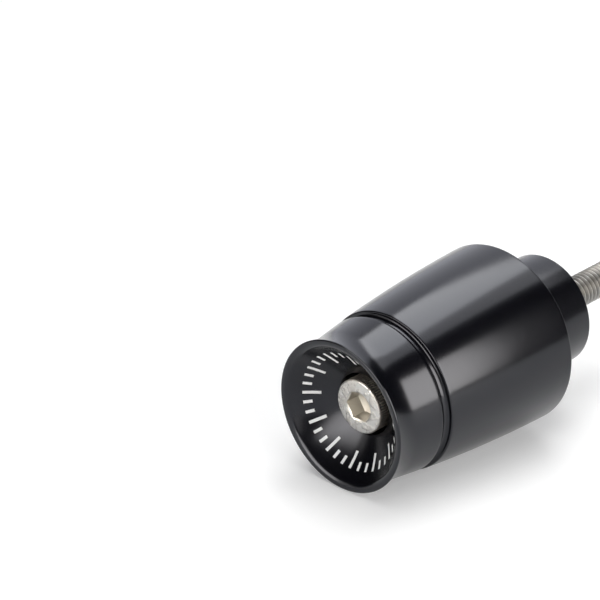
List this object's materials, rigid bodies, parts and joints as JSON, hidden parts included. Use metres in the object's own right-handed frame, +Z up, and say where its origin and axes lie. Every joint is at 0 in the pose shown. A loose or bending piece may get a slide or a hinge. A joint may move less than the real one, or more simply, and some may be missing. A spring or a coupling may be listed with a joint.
{
  "type": "bar end weight",
  "caption": "Black turned bar end weight with a flared dished rim, a grooved barrel, a rear spacer and a stainless socket head screw along its axis.",
  "frame": {"origin": "centre of the seat, the spacer's rear face that bears on the end of the bar", "axes": "+X along the weight's axis, out of the bar and towards the flared rim; +Z up"},
  "size_m": [0.0757, 0.0336, 0.0336],
  "materials": {
    "black_anodised_cap": "satin gloss black anodised, with bare machined marks in the dish",
    "black_anodised_barrel": "satin gloss black anodised",
    "black_anodised_spacer": "satin gloss black anodised",
    "stainless_steel": "fine turned stainless steel"
  },
  "bodies": {
    "root": {"rim_cap": "black_anodised_cap", "barrel": "black_anodised_barrel", "rear_spacer": "black_anodised_spacer", "socket_screw": "stainless_steel"}
  },
  "joints": []
}
